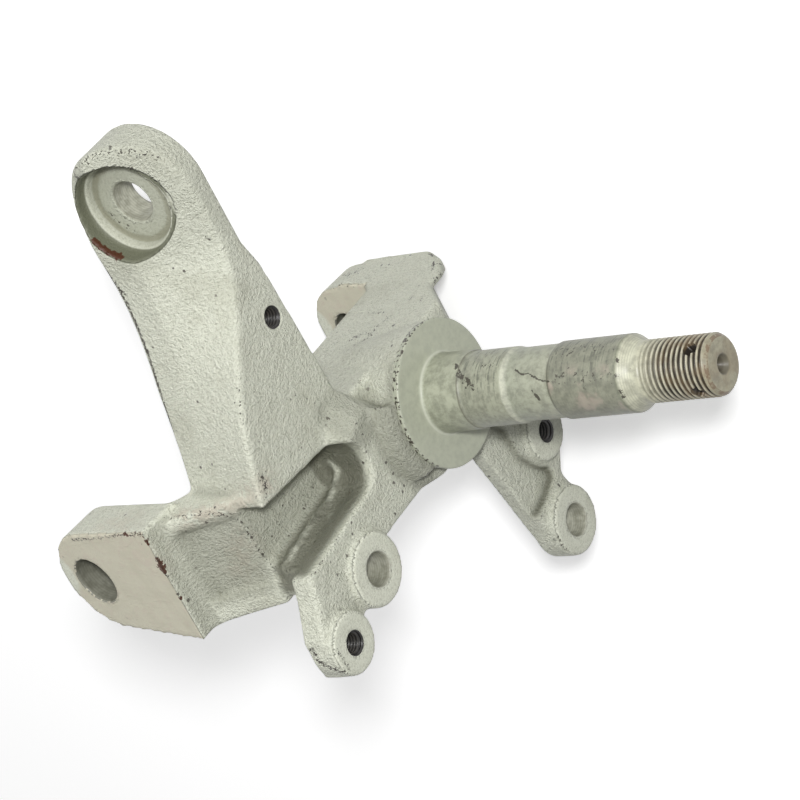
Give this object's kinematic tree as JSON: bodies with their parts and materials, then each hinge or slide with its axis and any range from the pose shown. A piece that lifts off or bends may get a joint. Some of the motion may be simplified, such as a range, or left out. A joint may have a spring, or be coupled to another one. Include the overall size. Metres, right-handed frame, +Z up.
{
  "type": "steering knuckle",
  "caption": "Steering knuckle forged whole with its stub axle, steering arm, ball-joint pads and brake-caliper bracket.",
  "frame": {"origin": "centre of the hub flange's turned face, on the stub axle's axis", "axes": "+X outboard along the stub axle, +Y forward along the steering arm, +Z up, towards the upper ball-joint pad"},
  "size_m": [0.1726, 0.1789, 0.1318],
  "materials": {
    "knuckle": "thin grey-green paint over a forging, worn, machined faces bare"
  },
  "bodies": {
    "root": {"steering_knuckle": "knuckle"}
  },
  "joints": []
}
